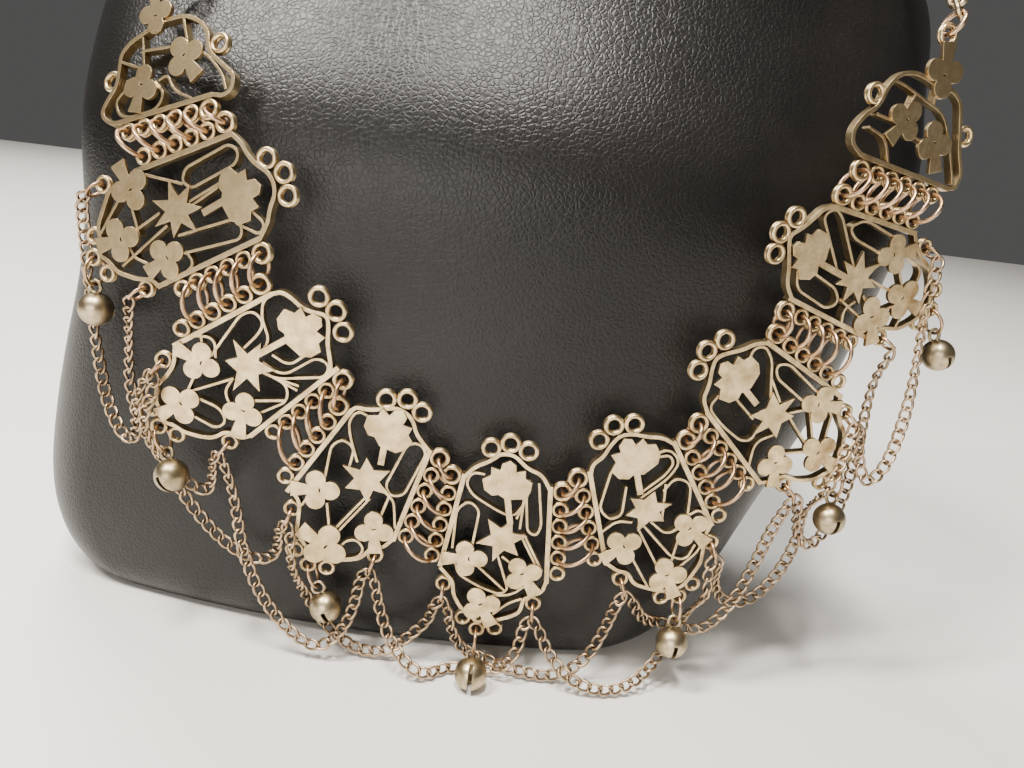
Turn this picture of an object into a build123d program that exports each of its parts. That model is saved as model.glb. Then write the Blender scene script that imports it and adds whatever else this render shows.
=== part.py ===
from build123d import *
from math import ceil, cos, pi, radians, sin, sqrt, tan
import os

os.makedirs("parts", exist_ok=True)

# Bust, in mm, with x = 0 at the middle of the necklace, y forward is negative and the table at z = 0
bust_height = 225
chest_left = 112
chest_right = 91
chest_front = 48
chest_back = 50
chest_ridge = -17
chest_radius = 280
chest_corner = 24

# Plaques of wire and sheet
plaque_width = 24
plaque_height = 45
ribbon_width = 0.5
ribbon_depth = 1.8
outline_width = 0.8
bar_width = 1.0
sheet_thickness = 0.8
sheet_rise = 0.4
solder = 0.15

# Rings wound from two turns of wire, soldered to the plaques
eye_radius = 1.43
eye_wire = 0.8
big_eye_radius = 1.7
big_eye_wire = 0.95
turn_spacing = 0.66
eye_gap = 0.1
first_eye = 1.2
bail_radius = 1.8

# Leaf, star and clover cut from sheet
leaf_size = 10.4
star_size = 5.4
clover_lobe = 1.85
clover_reach = 2.15
clover_stem = 5.2
clover_stem_root = 1.3
clover_stem_end = 3.1

# Jump rings between plaques
jump_radius = 3.5
jump_wire = 0.85
jump_lean = 8
least_span_share = 0.96

# Small hanging rings, bells and chains
drop_radius = 1.9
drop_wire = 0.7
drop_lean = 0.5
drop_rise = 0.22
bell_ring_radius = 2.8
bell_radius = 3.5
bell_wall = 0.5
bell_slit = 0.9
bell_loop_radius = 1.3
bell_loop_wire = 0.75
swag_width = 2.7

# Neck chain
link_length = 5.7
link_width = 4.0
link_wire = 1.05
end_ring_radius = 2.5
end_ring_wire = 0.95
link_clearance = 0.12
clasp_radius = 4.2
clasp_wire = 1.2

# Bust outline by height, as shares of bust_height, chest_left, chest_right, chest_front, chest_back
# and chest_corner
bust_sections = [
    # height, left, right, front, back, corner
    (0.000, 0.884, 0.42, 0.90, 0.84, 0.90),
    (0.018, 0.946, 0.49, 0.97, 0.92, 0.95),
    (0.053, 0.991, 0.56, 1.00, 0.98, 1.00),
    (0.156, 1.000, 0.68, 1.00, 1.00, 1.00),
    (0.267, 0.955, 0.80, 1.00, 1.00, 1.00),
    (0.378, 0.911, 0.89, 1.00, 1.00, 1.00),
    (0.480, 0.915, 0.945, 0.98, 1.00, 1.00),
    (0.533, 0.920, 0.967, 0.89, 1.00, 1.05),
    (0.600, 0.929, 0.989, 0.71, 1.00, 1.15),
    (0.676, 0.893, 0.989, 0.52, 1.00, 1.25),
    (0.764, 0.750, 0.835, 0.44, 1.00, 1.35),
    (0.827, 0.554, 0.637, 0.44, 1.00, 1.40),
    (0.889, 0.360, 0.390, 0.46, 1.00, 1.42),
    (1.000, 0.345, 0.370, 0.46, 1.00, 1.42),
]

# Where each plaque lies on the bust: sideways place and height of its middle, how far its middle
# stands off the bust, and the degrees by which it faces to the side, faces up and is turned
plaque_places = {
    # name: (sideways, height, stand_off, faces_side, faces_up, turn)
    "plaque_1": (-72.6, 111.2, 5.2, -21, 19, 20.5),
    "plaque_2": (-66.0, 92.7, 7.4, -14, 7, -63.3),
    "plaque_3": (-52.5, 64.1, 7.9, -1, -4, -50.3),
    "plaque_4": (-28.8, 42.2, 5.2, 4, 0, -23.8),
    "plaque_5": (0.7, 32.9, 4.1, 0, -1, -1.8),
    "plaque_6": (31.7, 42.3, 6.1, 7, 0, 27.4),
    "plaque_7": (55.4, 65.3, 6.2, 15, 0, 55.2),
    "plaque_8": (67.3, 96.2, 5.8, 21, -1, 73.7),
    "plaque_9": (72.9, 116.3, 8.7, 21, 5, -9.1),
}

# Pattern of each plaque on a grid of 24 by 45, with (0, 0) at its middle. Outline and ribbons are
# strips on edge through the points named; clovers hold x, y, the way the stem points and a size
plaque_patterns = {
    "plaque_2": {
        "left_bar": [(-10.5, 14.5), (-11.3, -8.7)],
        "right_bar": [(9.6, 13.4), (11.2, -11.6)],
        "top_eyes": [(-3.9, 19.4), (-0.2, 21.9), (4.0, 21.2)],
        "corner_eyes": [(-11.6, -16.6), (10.6, -14.6)],
        "foot_eyes": [(-3.0, -22.4), (0.9, -24.2), (5.0, -22.2)],
        "outline": [
            [(-10.5, 14.2), (-8.2, 15.6), (-5.9, 16.0), (-3.7, 17.0), (-1.2, 19.0), (0.8, 19.5),
             (3.0, 19.0), (5.2, 17.0), (7.4, 15.8), (9.8, 13.0)],
            [(11.2, -11.4), (9.4, -12.4), (8.4, -15.6), (5.6, -19.6), (3.0, -20.6), (1.0, -22.5),
             (-1.2, -21.0), (-4.2, -20.6), (-7.8, -17.4), (-10.4, -14.9), (-9.6, -11.6), (-11.3, -8.7)],
        ],
        "ribbons": [
            [(-9.0, 13.0), (-8.0, 2.4), (-5.8, 0.9), (-4.0, 2.4), (-5.0, 13.0), (-6.9, 14.6), (-9.0, 13.0)],
            [(-3.0, 9.5), (-1.8, 1.0)],
            [(-2.3, 8.0), (-0.9, 1.0)],
            [(3.6, 12.9), (7.4, 15.2), (9.0, 13.4), (5.2, 9.3), (4.0, 9.6)],
            [(3.4, -3.6), (4.4, 9.2), (6.4, 10.4), (8.4, 9.2), (6.8, -5.0)],
            [(6.8, -3.0), (9.6, -2.0), (10.8, -5.0)],
            [(-5.4, 0.9), (-10.6, -7.6)],
            [(0.8, -5.2), (4.9, -17.9)],
            [(1.8, -15.0), (4.2, -14.6), (7.2, -11.2)],
            [(-8.5, -11.4), (0.6, -12.0)],
            [(-8.2, -12.9), (-2.6, -20.6)],
            [(-2.0, -6.0), (-0.4, -13.6)],
        ],
        "leaf": (0.6, 11.6, 0, 1.04),
        "stem": [(0.6, 8.6), (1.3, 3.4)],
        "star": [(-4.6, 2.6), (0.2, 3.6), (4.2, 1.0), (3.6, -4.4), (0.2, -7.6), (-4.6, -6.4), (-6.9, -1.6)],
        "clovers": [(-8.4, -10.4, 190, 1.1), (6.7, -7.4, -75, 1.05), (0.0, -16.2, -95, 1.1)],
    },
    "plaque_3": {
        "left_bar": [(-9.3, 13.6), (-11.7, -10.0)],
        "right_bar": [(9.6, 15.4), (11.7, -9.3)],
        "top_eyes": [(-3.9, 20.8), (0.2, 21.9), (4.3, 20.5)],
        "corner_eyes": [(-10.6, -13.9), (10.4, -13.9)],
        "foot_eyes": [(-3.9, -22.9), (-0.2, -24.4), (3.3, -22.5)],
        "outline": [
            [(-9.4, 13.2), (-8.6, 15.4), (-6.6, 16.3), (-4.0, 16.8), (-2.1, 18.0), (-0.1, 20.1), (2.0, 18.8),
             (4.6, 16.5), (7.3, 15.1), (9.8, 13.4)],
            [(11.7, -9.0), (10.9, -11.4), (8.2, -12.6), (7.9, -16.1), (6.2, -18.3), (3.4, -20.6), (1.4, -21.2), (-0.2, -22.6),
             (-2.0, -21.3), (-4.4, -21.2), (-7.2, -18.6), (-7.6, -15.6), (-8.6, -12.6), (-11.6, -9.6)],
        ],
        "ribbons": [
            [(-9.3, 13.4), (-9.0, 11.0), (-6.6, 8.8), (-2.2, 7.2), (-1.2, 4.0)],
            [(-6.0, -5.0), (-9.4, 5.6), (-8.6, 8.4), (-5.6, 8.6), (-4.4, 6.0), (-3.6, 1.0)],
            [(-11.2, -5.2), (-8.6, -1.7), (-5.4, -4.2)],
            [(0.6, 3.2), (5.0, 4.8), (5.6, 13.0), (8.2, 14.4), (9.8, 11.9), (4.8, 3.4), (1.6, 1.4)],
            [(4.0, 11.6), (4.0, 7.2), (0.4, 5.8)],
            [(3.0, 2.4), (7.0, 4.4), (9.8, 2.2), (8.6, -5.2)],
            [(9.4, 1.9), (5.4, -4.6)],
            [(0.1, -4.0), (-2.6, -13.6)],
            [(0.1, -4.4), (1.2, -7.4), (5.4, -8.8)],
            [(-0.8, -13.2), (3.6, -10.6), (6.6, -11.4), (6.6, -14.2), (1.0, -16.9)],
            [(-5.2, -9.4), (-2.2, -15.2)],
            [(-11.0, -3.4), (-7.4, -5.8)],
            [(7.4, -8.4), (10.9, -10.6)],
        ],
        "leaf": (-0.3, 13.6, 0, 1.03),
        "stem": [(-0.6, 10.6), (-1.3, 2.4)],
        "star": [(-2.7, 5.6), (3.2, 4.4), (5.1, -1.1), (2.0, -5.6), (-3.8, -2.8), (-6.3, 1.4)],
        "clovers": [(-6.2, -7.4, 205, 1.05), (6.6, -6.8, -50, 1.05), (-1.6, -16.8, -95, 1.1)],
    },
    "plaque_4": {
        "left_bar": [(-8.8, 13.2), (-12.2, -9.5)],
        "right_bar": [(9.1, 13.4), (12.2, -8.6)],
        "top_eyes": [(-3.8, 18.4), (-0.1, 20.5), (3.8, 19.5)],
        "corner_eyes": [(-9.6, -12.5), (10.5, -13.6)],
        "foot_eyes": [(-4.6, -20.6), (-0.9, -22.5), (2.9, -21.3)],
        "outline": [
            [(-8.9, 12.6), (-8.4, 14.0), (-6.0, 14.7), (-3.4, 16.4), (-0.6, 18.2), (2.6, 17.6), (5.0, 15.0),
             (7.4, 13.8), (9.2, 13.0)],
            [(12.1, -8.2), (11.0, -11.2), (8.9, -12.2), (8.3, -15.6), (4.6, -18.2), (0.6, -20.0), (-2.8, -19.0),
             (-6.4, -16.8), (-7.5, -13.6), (-8.8, -10.2), (-11.9, -8.4)],
        ],
        "ribbons": [
            [(-3.6, 13.6), (-7.8, 13.6), (-8.2, 10.6), (-6.4, 7.8), (-2.6, 3.6)],
            [(-6.4, -4.2), (-8.9, 4.2), (-7.6, 6.6), (-4.6, 6.2), (-3.6, 2.0)],
            [(6.6, 13.6), (4.5, 12.2), (4.8, 1.8), (7.0, 0.2), (9.2, 1.8), (8.8, 12.4), (6.6, 13.6)],
            [(5.6, 0.4), (8.0, -0.4), (11.2, -5.8)],
            [(3.4, -2.4), (0.6, -14.6)],
            [(2.5, -2.6), (-0.2, -14.0)],
            [(-3.9, -7.6), (1.0, -15.6)],
            [(4.0, -17.6), (3.0, -14.0), (5.4, -12.0), (7.9, -13.4), (7.4, -16.0), (4.8, -17.6)],
            [(-8.0, -8.6), (-8.2, -10.8)],
            [(7.4, -5.8), (6.6, 0.6)],
        ],
        "leaf": (-0.3, 12.9, -8, 1.02),
        "stem": [(0.4, 9.8), (1.8, 5.6)],
        "star": [(-1.4, 5.6), (4.1, 5.3), (6.6, 0.6), (3.3, -3.3), (-2.2, -2.6), (-5.0, 1.7)],
        "clovers": [(-6.7, -5.7, 205, 1.1), (7.5, -8.2, -60, 1.05), (0.2, -16.6, 170, 1.25)],
    },
    "plaque_5": {
        "left_bar": [(-8.6, 13.2), (-11.1, -9.0)],
        "right_bar": [(9.5, 13.2), (12.2, -9.3)],
        "top_eyes": [(-3.9, 19.6), (-0.1, 21.2), (3.8, 20.1)],
        "corner_eyes": [(-9.8, -13.2), (10.1, -14.8)],
        "foot_eyes": [(-4.6, -20.9), (-1.2, -23.3), (2.7, -22.4)],
        "outline": [
            [(-8.8, 12.0), (-6.9, 15.0), (-3.8, 16.8), (-1.6, 19.0), (1.2, 18.9), (4.2, 16.4), (7.3, 15.6),
             (9.4, 12.6)],
            [(12.1, -8.8), (11.6, -11.6), (9.4, -12.9), (7.9, -13.9), (7.6, -17.3), (5.6, -18.8), (2.6, -20.2), (0.6, -20.0),
             (-1.2, -21.6), (-3.0, -19.7), (-5.2, -18.5), (-7.4, -15.4), (-7.8, -12.2), (-11.0, -9.2)],
        ],
        "ribbons": [
            [(-4.4, 13.8), (-7.0, 13.9), (-8.1, 11.4), (-6.4, 8.8), (-0.6, 6.0), (2.8, 5.0), (4.6, 8.4), (4.6, 10.6)],
            [(-9.0, -4.2), (-9.2, 5.0), (-6.9, 7.4), (-4.4, 5.6), (-4.9, -4.0)],
            [(5.0, 14.0), (4.8, 10.6), (6.2, 2.4), (8.2, 1.4), (9.0, 3.9), (7.0, 13.6)],
            [(4.4, 12.2), (4.6, 2.6)],
            [(5.6, 1.6), (10.8, -6.6)],
            [(4.9, 1.4), (10.4, -7.2)],
            [(-8.0, -7.2), (-7.0, -10.2), (-1.6, -12.7), (2.6, -13.6), (4.2, -12.2), (0.9, -4.4)],
            [(-3.6, -7.2), (3.6, -12.6)],
            [(1.0, -14.2), (5.2, -13.4), (8.0, -10.4)],
            [(7.6, -13.9), (4.8, -15.4), (1.2, -19.4)],
            [(1.8, -4.4), (5.2, -6.6)],
            [(-8.0, -7.0), (-11.0, -8.6)],
        ],
        "leaf": (0.4, 12.6, 0, 1.0),
        "stem": [(0.9, 9.6), (2.4, 3.6)],
        "star": [(-2.4, 4.1), (2.8, 4.6), (6.4, 1.4), (5.2, -3.5), (-0.1, -5.7), (-4.2, -2.0)],
        "clovers": [(-5.3, -6.0, 188, 1.05), (6.8, -7.8, -52, 1.05), (-1.1, -16.7, -58, 1.08)],
    },
    "plaque_6": {
        "left_bar": [(-8.6, 13.3), (-12.4, -8.4)],
        "right_bar": [(9.8, 12.8), (11.8, -8.9)],
        "top_eyes": [(-4.5, 18.9), (-0.6, 20.7), (3.4, 19.4)],
        "corner_eyes": [(-10.6, -13.1), (10.4, -12.6)],
        "foot_eyes": [(-3.7, -21.1), (0.0, -22.5), (3.7, -20.8)],
        "outline": [
            [(-8.8, 12.2), (-7.6, 14.5), (-4.8, 15.3), (-3.1, 16.8), (-0.4, 18.3), (2.2, 17.8), (5.2, 15.8),
             (8.0, 14.5), (9.9, 12.0)],
            [(-12.3, -8.0), (-10.6, -10.9), (-8.6, -12.2), (-8.4, -15.3), (-5.0, -18.3), (-2.4, -19.9),
             (1.2, -20.4), (4.0, -18.6), (6.9, -16.4), (8.3, -13.6), (9.6, -10.4), (11.7, -8.4)],
        ],
        "ribbons": [
            [(-2.9, 12.0), (-4.4, 11.6), (-9.6, 4.4), (-8.2, 1.2), (-5.6, 1.2), (-2.6, 7.0)],
            [(5.2, 11.6), (8.6, 11.6), (9.8, 8.0), (6.3, 5.4), (-1.2, 3.2)],
            [(5.0, 11.0), (8.2, 10.2), (8.4, 8.2), (6.0, 6.4), (0.0, 4.6)],
            [(4.4, 3.0), (7.7, 5.0), (10.4, 2.6), (9.1, -1.0), (7.0, -5.4)],
            [(5.4, 4.4), (2.0, -3.4)],
            [(-10.8, -0.8), (-7.0, 0.4), (-4.0, -1.2)],
            [(7.8, -4.4), (10.5, -4.0), (11.4, -6.8)],
            [(-2.0, -2.8), (1.3, -12.4), (4.1, -14.4), (7.0, -11.6)],
            [(-0.3, -2.6), (1.9, -6.9), (5.6, -6.4)],
            [(-3.3, -2.8), (-2.2, -13.6)],
            [(-6.8, -8.0), (-5.6, -18.0)],
            [(4.6, -8.0), (1.0, -13.4)],
            [(9.4, -11.0), (6.9, -13.6), (0.6, -16.0)],
            [(-9.8, -6.2), (-11.8, -7.6)],
        ],
        "leaf": (0.9, 12.2, 6, 1.04),
        "stem": [(0.4, 9.2), (-0.4, 4.4)],
        "star": [(-2.6, 4.4), (2.7, 3.9), (5.2, -0.3), (2.4, -3.4), (-3.6, -3.4), (-4.8, 1.1)],
        "clovers": [(-7.6, -5.8, 190, 1.05), (7.1, -7.5, -65, 1.05), (-0.9, -16.2, -92, 1.1)],
    },
    "plaque_7": {
        "left_bar": [(-9.2, 13.0), (-13.0, -9.0)],
        "right_bar": [(9.4, 13.4), (12.1, -9.6)],
        "top_eyes": [(-4.0, 20.6), (0.0, 22.0), (4.0, 20.6)],
        "corner_eyes": [(-9.8, -14.0), (10.4, -13.2)],
        "foot_eyes": [(-4.1, -21.0), (0.0, -22.4), (3.8, -20.8)],
        "outline": [
            [(-9.4, 12.2), (-7.7, 15.7), (-4.9, 16.7), (-2.1, 18.7), (0.0, 19.7), (2.2, 18.6), (4.8, 16.4),
             (7.9, 14.8), (9.6, 12.6)],
            [(-13.0, -8.6), (-11.0, -10.8), (-8.2, -12.0), (-7.4, -15.6), (-4.6, -18.8), (-1.8, -20.0), (0.0, -20.7),
             (1.9, -20.0), (4.6, -18.6), (7.2, -16.4), (8.2, -13.2), (9.6, -10.8), (12.0, -9.2)],
        ],
        "ribbons": [
            [(-5.0, 13.4), (-8.2, 13.4), (-9.2, 8.3), (-9.0, 2.2), (-7.4, 0.2), (-4.4, 1.3)],
            [(-3.2, 10.2), (-3.9, 3.4)],
            [(3.6, 13.4), (6.8, 14.6), (8.6, 12.8), (7.6, 9.6), (1.6, 3.6)],
            [(5.9, -4.6), (5.6, 5.8), (7.4, 8.0), (9.4, 5.8), (9.2, -5.4)],
            [(-11.8, -3.6), (-7.1, -0.7), (-3.2, -3.2)],
            [(-5.6, -7.4), (-1.2, -12.4)],
            [(1.5, -2.8), (-0.6, -12.2)],
            [(5.6, -5.6), (1.0, -11.8)],
            [(2.0, -2.2), (5.6, -5.4)],
            [(7.9, -8.4), (8.2, -10.6), (1.6, -14.6)],
            [(-11.0, -11.2), (-9.2, -9.2)],
            [(4.8, 6.8), (2.4, 1.2)],
        ],
        "leaf": (-0.2, 12.9, 0, 1.03),
        "stem": [(-0.6, 9.9), (-1.2, 5.4)],
        "star": [(-3.8, 4.7), (2.9, 4.4), (5.1, -0.6), (2.3, -3.4), (-3.6, -3.8), (-6.4, 1.1)],
        "clovers": [(-7.7, -8.0, 222, 1.05), (7.6, -6.3, -60, 1.05), (0.1, -14.6, -88, 1.1)],
    },
    "plaque_8": {
        "left_bar": [(-10.4, 13.5), (-11.4, -9.3)],
        "right_bar": [(9.1, 12.9), (11.8, -9.1)],
        "top_eyes": [(-3.7, 20.7), (0.3, 21.7), (4.1, 19.9)],
        "corner_eyes": [(-10.2, -13.4), (10.4, -13.2)],
        "foot_eyes": [(-4.0, -21.4), (-0.4, -23.0), (3.5, -21.6)],
        "outline": [
            [(-10.4, 12.6), (-8.4, 15.2), (-4.8, 16.8), (-2.0, 18.6), (0.4, 19.9), (2.8, 17.8), (5.4, 16.3),
             (8.0, 15.0), (9.4, 12.2)],
            [(-11.4, -8.9), (-9.4, -10.8), (-8.0, -13.0), (-7.2, -16.4), (-4.6, -19.2), (-2.0, -20.8), (-0.4, -21.4),
             (1.4, -21.0), (4.2, -19.6), (7.0, -16.6), (8.2, -13.0), (9.8, -10.4), (11.7, -8.8)],
        ],
        "ribbons": [
            [(-4.6, 14.6), (-8.2, 12.8), (-9.4, 3.8), (-7.4, 1.4), (-5.0, 3.6), (-3.8, 12.0)],
            [(-2.4, 4.6), (6.6, 14.6), (8.9, 12.6), (8.0, 10.2), (0.4, 2.0)],
            [(5.0, -4.8), (5.4, 5.0), (6.9, 7.4), (9.6, 4.6), (9.1, -5.6)],
            [(-6.5, 1.6), (-8.3, -6.0)],
            [(-0.4, -3.4), (-0.8, -11.6)],
            [(-10.6, -1.6), (-8.0, -0.6), (-5.6, -2.4)],
            [(2.0, -3.0), (5.4, -6.0)],
            [(-3.8, -3.6), (-6.6, -7.6)],
            [(-5.4, -9.6), (-1.4, -14.4)],
            [(5.2, -8.0), (0.2, -13.0)],
            [(-7.0, -15.6), (-2.8, -15.6)],
            [(1.6, -15.0), (6.0, -15.2), (7.2, -10.0)],
        ],
        "leaf": (-1.2, 13.2, 0, 0.98),
        "stem": [(-1.8, 10.2), (-2.2, 2.0)],
        "star": [(-4.2, 4.6), (0.6, 5.2), (4.0, 1.8), (3.2, -3.4), (-1.4, -5.2), (-5.8, -3.2), (-6.9, 1.0)],
        "clovers": [(-7.2, -8.1, 215, 1.15), (6.1, -6.0, -60, 1.05), (-1.0, -13.5, -95, 1.1)],
    },
}

# The two end plaques hang from a bail and end in one straight bar
end_patterns = {
    "plaque_1": {
        "bar": [(-11.4, 0.0), (10.9, 0.0)],
        "eye_from": 1,
        "side_eyes": [(-13.0, 9.4), (12.9, 10.2)],
        "bail": (-1.2, 26.6),
        "outline": [
            [(-11.2, 0.0), (-13.6, 0.4), (-15.8, 2.8), (-14.2, 5.4), (-11.6, 7.9), (-10.8, 11.7), (-10.2, 14.4),
             (-7.8, 16.2), (-4.2, 17.2), (-1.2, 18.4), (2.2, 18.3), (5.4, 18.0), (8.8, 16.0), (10.6, 13.0),
             (10.4, 9.2), (13.2, 5.8), (16.0, 2.6), (15.4, 0.0), (13.4, -0.9), (10.9, 0.0)],
        ],
        "ribbons": [
            [(-9.0, 8.4), (-9.4, 6.4), (-12.0, 4.8), (-11.4, 1.6), (-8.7, 0.4), (-2.2, 0.4), (-0.1, 3.0), (-2.2, 6.4)],
            [(-10.8, 12.9), (-4.8, 9.6)],
            [(-4.8, 16.4), (-4.8, 9.4)],
            [(-4.8, 13.4), (4.6, 12.0)],
            [(-1.4, 6.2), (0.8, 6.9), (2.1, 3.2), (6.3, 0.4)],
            [(5.1, 17.6), (5.9, 11.4)],
            [(8.6, 9.8), (10.8, 7.6), (13.4, 3.6), (14.0, 0.2)],
            [(-8.6, 8.2), (-6.4, 8.4)],
        ],
        "clovers": [(-1.2, 19.9, 90, 1.0), (-5.3, 6.1, 250, 1.05), (5.2, 9.4, -62, 1.1)],
    },
    "plaque_9": {
        "bar": [(-12.0, 0.4), (11.7, 0.0)],
        "eye_from": -1,
        "side_eyes": [(-12.6, 12.2), (12.1, 10.9)],
        "bail": (0.4, 27.5),
        "outline": [
            [(-12.0, 0.4), (-15.0, 1.8), (-15.6, 4.6), (-14.0, 7.6), (-11.2, 10.4), (-10.6, 14.2), (-8.4, 17.2),
             (-5.2, 18.4), (-1.8, 18.2), (1.8, 17.4), (5.0, 18.2), (8.2, 16.4), (9.8, 12.2), (11.6, 7.4),
             (13.9, 3.6), (13.4, 0.6), (11.7, 0.0)],
        ],
        "ribbons": [
            [(-9.4, 15.6), (-6.4, 15.4), (-1.0, 14.3), (4.4, 13.4), (7.9, 9.2), (12.4, 1.2)],
            [(-11.4, 8.6), (-5.4, 8.4)],
            [(-12.4, 5.8), (-7.6, 5.0), (-5.2, 0.6)],
            [(-3.0, 7.6), (2.6, 6.4)],
            [(-4.3, 11.0), (-3.6, 14.6)],
            [(1.2, 17.0), (1.6, 13.95)],
            [(5.6, 8.2), (7.6, 9.4)],
        ],
        "clovers": [(1.6, 20.0, 100, 1.15), (-4.3, 9.4, 240, 1.05), (4.3, 7.2, -66, 1.1)],
    },
}

# How many of the six eyes on each facing pair of bars hold a jump ring
jump_counts = [6, 5, 5, 6, 5, 5, 5, 6]

# Routes of the hanging chains, from a ring at the foot of one plaque to a ring of the next one
swag_routes = {
    "swag_left_2": [(-89.5, -47.2, 93.6), (-91.5, -42, 83), (-90.5, -43, 72), (-88.5, -44, 61), (-86, -45.5, 50),
                    (-81, -48, 43), (-76.5, -51.2, 45.1), (-75.5, -54.5, 53.3), (-72.9, -55.3, 60.4)],
    "swag_left_3": [(-70.4, -55.7, 58.7), (-73.9, -56.2, 50.6), (-71.2, -51, 39.6), (-65, -51.1, 30.5),
                    (-58, -50.5, 22.5), (-50.5, -50.5, 19), (-45.5, -52.6, 23), (-44.9, -56.2, 31.1)],
    "swag_left_4": [(-42, -56.4, 30.3), (-41.4, -57.8, 22.6), (-39.4, -51.2, 12.8), (-35.1, -50.4, 5.5),
                    (-28.5, -52.6, 1.8), (-21, -53.6, 1.9), (-15, -52.2, 7), (-11.6, -52.4, 11.6), (-11.1, -53.4, 15.9)],
    "swag_left_5": [(-8.1, -53.4, 15.8), (-7.1, -53.2, 10.4), (-4, -51.1, 3.6), (2.7, -51, 1.6), (10, -54.4, 1.9),
                    (17.5, -54.2, 1.8), (23.5, -52.4, 5.5), (26.8, -51.2, 13), (28.3, -52.4, 21.4)],
    "swag_left_6": [(31.1, -52.1, 22.3), (34.8, -49.7, 15.7), (40.8, -45.1, 13.2), (48.5, -48.5, 13.5),
                    (54.5, -46.4, 20), (58, -45, 29), (60.6, -43.8, 38), (62.5, -45.1, 45)],
    "swag_left_7": [(65, -44.5, 46.8), (66.3, -41.8, 38.5), (70.5, -40.5, 33.2), (75, -38, 37), (77.6, -37, 45.5),
                    (78.2, -36.6, 55), (78, -36.2, 65), (78.4, -35.6, 73.5), (79.9, -37.8, 79.8)],
    "swag_right_2": [(-77.6, -52.5, 73.9), (-79.6, -48.2, 64), (-80, -47.6, 54), (-76.5, -47.6, 44),
                     (-69.5, -47.9, 36.2), (-62.5, -49.5, 33), (-60.5, -51.2, 38.1), (-59.6, -54.4, 44.3)],
    "swag_right_3": [(-56.9, -54.3, 42.6), (-54.6, -54, 34.5), (-52.8, -55, 24.5), (-48.5, -55.6, 14.5),
                     (-42, -56, 6.5), (-35, -56, 2.4), (-29.8, -55.4, 8), (-27.8, -54.3, 15), (-27, -55, 22)],
    "swag_right_4": [(-24.1, -54.8, 21.1), (-22.5, -55.4, 14), (-18.5, -58, 6.5), (-12, -60.4, 2), (-6.6, -54.9, 1.6),
                     (1.2, -53.5, 1.6), (5.7, -56.7, 3.9), (8.4, -55, 8.6), (8.8, -53.4, 13.7)],
    "swag_right_5": [(11.8, -53.3, 13.6), (14.4, -55, 8.8), (19, -57.2, 4.2), (26, -57.6, 1.8), (33, -55.6, 2.2),
                     (39.2, -50, 5), (44.4, -41.4, 10.4), (46, -46.8, 18.6), (47.6, -51.4, 24.4), (46.6, -50.6, 31.5)],
    "swag_right_6": [(49.4, -49.8, 32.4), (49.6, -46.6, 25.5), (52.6, -43.4, 19.8), (58.8, -42, 18.4),
                     (65, -39.6, 23.5), (69.6, -36.6, 32), (68.6, -38.6, 42.6), (70.4, -46.4, 50), (73, -43.1, 62)],
    "swag_right_7": [(75.5, -41.7, 63.8), (76.7, -41.4, 56), (79.2, -42.4, 50.8), (83.2, -40.6, 54.5),
                     (85.2, -39.2, 63), (85.6, -38.6, 72), (85.2, -37.8, 81), (84.4, -37.6, 90.1), (85.2, -36.6, 99.6)],
}

# Which way each bell swings off straight down, in degrees: its ring forward, the bell forward, both sideways,
# and how its slit is turned
bell_swings = {
    # name: (ring_forward, bell_forward, sideways, slit_turn)
    "2": (0, 0, 0, 30),
    "3": (18, 24, 22, 70),
    "4": (0, 4, 24, 90),
    "5": (36, 72, 0, 90),
    "6": (10, 14, 0, 90),
    "7": (10, 16, 0, 90),
    "8": (0, 0, 24, 90),
}

# Routes of the neck chain from the bail of each end plaque over the shoulder to the nape
neck_routes = {
    "left": [(-75, -31.5, 144), (-71, -25.5, 157), (-69, -20.8, 171.8), (-63.2, -10.8, 187), (-54, 1.5, 194.4),
             (-46.5, 13.5, 199.6), (-39.5, 29.5, 203.2), (-27.9, 45.6, 204.3), (-14.2, 52.6, 205.8)],
    "right": [(78.5, -31, 150), (79, -21.5, 161), (74.5, -9.5, 173.5), (64.2, 0.9, 183.5), (54.1, 8, 193.4),
              (44, 17, 199.8), (35.5, 31, 203.4), (22.2, 44.8, 203.9), (9.5, 52, 205.2)],
}
nape = (-2, 52.9, 206)


def spot(x, y):
    """Point of a plaque's pattern grid, in mm"""
    return Vector(x * plaque_width / 24, y * plaque_height / 45)


def bend_radii(points):
    """Radius at each bend of a route: as large as the shorter run beside it allows"""
    radii = []
    if points[0] == points[-1]:
        points = [points[-2]] + points
    for before, here, after in zip(points, points[1:], points[2:]):
        run_in = Vector(*here) - Vector(*before)
        run_out = Vector(*after) - Vector(*here)
        half_turn = radians(run_in.get_angle(run_out)) / 2
        radii.append(0.45 * min(run_in.length, run_out.length) / tan(half_turn))
    return radii


def smooth_path(points):
    """Straight runs joined by tangent arcs"""
    if len(points) == 2:
        return Line(*points)
    return FilletPolyline(*points, radius=bend_radii(points))


def chest_at(x, z):
    """Front of the bust, as a y, at a sideways place and a height"""
    share = z / bust_height
    for low, high in zip(bust_sections, bust_sections[1:]):
        if low[0] <= share <= high[0]:
            part_way = (share - low[0]) / (high[0] - low[0])
            front = low[3] + part_way * (high[3] - low[3])
    return (x - chest_ridge) ** 2 / (2 * chest_radius) - front * chest_front


def plaque_plane(name):
    """Plane of a plaque, with x across it, y up along it and z out of its front"""
    sideways, height, stand_off, faces_side, faces_up, turn = plaque_places[name]
    side, up = radians(faces_side), radians(faces_up)
    front = Vector(sin(side) * cos(up), -cos(side) * cos(up), sin(up))
    across = Vector(cos(side), sin(side), 0)
    turned = across * cos(radians(turn)) + front.cross(across) * sin(radians(turn))
    middle = Vector(sideways, chest_at(sideways, height) - stand_off, height)
    return Plane(origin=middle, x_dir=turned, z_dir=front)


def in_space(name, point):
    """Point of a plaque's own plane, in the part's frame"""
    return plaque_plane(name).from_local_coords(Vector(point.X, point.Y, 0))


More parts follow.
